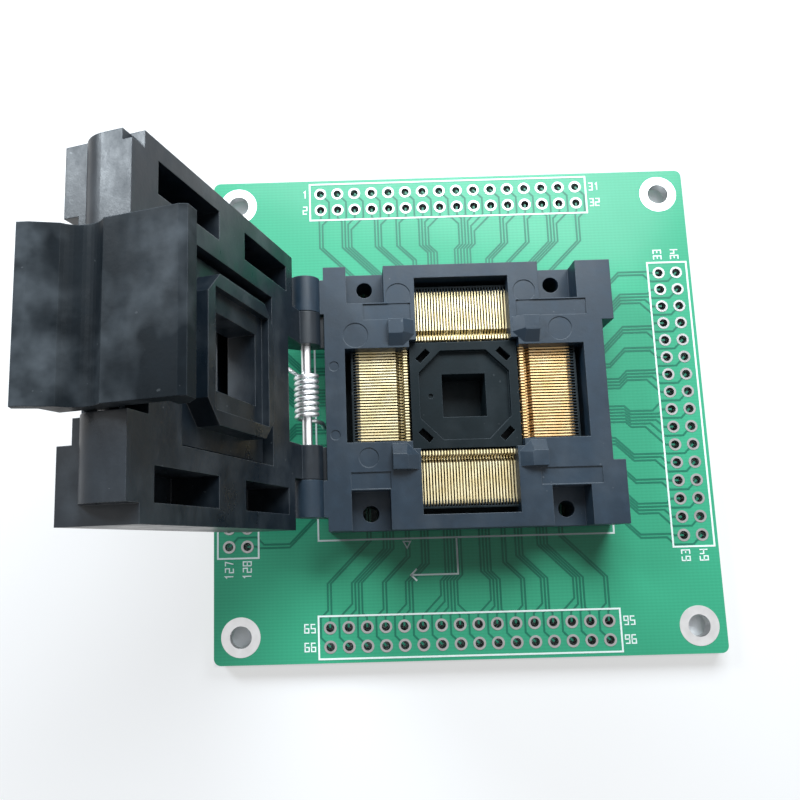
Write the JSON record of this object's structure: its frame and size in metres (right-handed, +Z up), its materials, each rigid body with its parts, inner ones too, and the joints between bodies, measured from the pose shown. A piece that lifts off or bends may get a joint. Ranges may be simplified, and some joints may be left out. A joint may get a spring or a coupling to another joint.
{
  "type": "clamshell test socket on breakout board",
  "caption": "Clamshell zero-insertion-force socket for a quad flat pack, with sprung lid, pusher and latch, soldered to a square through-hole breakout board.",
  "frame": {"origin": "centre of the four mounting holes, on the board's underside", "axes": "+Z up out of the board's component side, +X from the hinge side to the latch side, +Y towards the board's back edge"},
  "size_m": [0.0786, 0.07, 0.0527],
  "materials": {
    "board_green": "satin",
    "black_moulding": "satin",
    "lid_moulding": "satin",
    "gold_contacts": "satin",
    "tinned_copper": "satin",
    "spring_steel": "polished"
  },
  "bodies": {
    "base": {"circuit_board": "board_green", "mounting_rings": "tinned_copper", "header_eyelets_north": "tinned_copper", "header_eyelets_south": "tinned_copper", "header_eyelets_east": "tinned_copper", "header_eyelets_west": "tinned_copper", "socket_housing": "black_moulding", "tail_plate": "black_moulding", "package_platform": "black_moulding", "contact_combs": "black_moulding", "contacts_north": "gold_contacts", "contacts_south": "gold_contacts", "contacts_east": "gold_contacts", "contacts_west": "gold_contacts", "solder_joints": "tinned_copper", "hinge_pin": "spring_steel", "lid_spring": "spring_steel"},
    "lid": {"lid_cover": "lid_moulding", "latch_pin": "spring_steel", "latch_springs": "spring_steel", "pusher_springs": "spring_steel"},
    "latch": {"latch": "lid_moulding"},
    "pusher": {"pusher": "lid_moulding"}
  },
  "joints": [
    {"name": "lid_hinge", "type": "hinge", "parent": "base", "child": "lid", "pos_m": [-0.0212, 0.0004, 0.01], "axis": [0, 1, 0], "range_deg": [0, 108.5], "stiffness_Nm_per_rad": 0.004, "springref_deg": -28.65, "deforming": ["lid_spring"]},
    {"name": "latch_pivot", "type": "hinge", "parent": "lid", "child": "latch", "pos_m": [-0.03658, 0.0004, 0.04587], "axis": [0, -1, 0], "range_deg": [0, 12], "stiffness_Nm_per_rad": 0.004, "springref_deg": -11.46, "deforming": ["latch_springs"]},
    {"name": "pusher_float", "type": "slide", "parent": "lid", "child": "pusher", "axis": [-0.9483, 0, -0.3173], "range_m": [0, 0.0008], "stiffness_N_per_m": 800, "springref_m": -0.001, "deforming": ["pusher_springs"]}
  ]
}
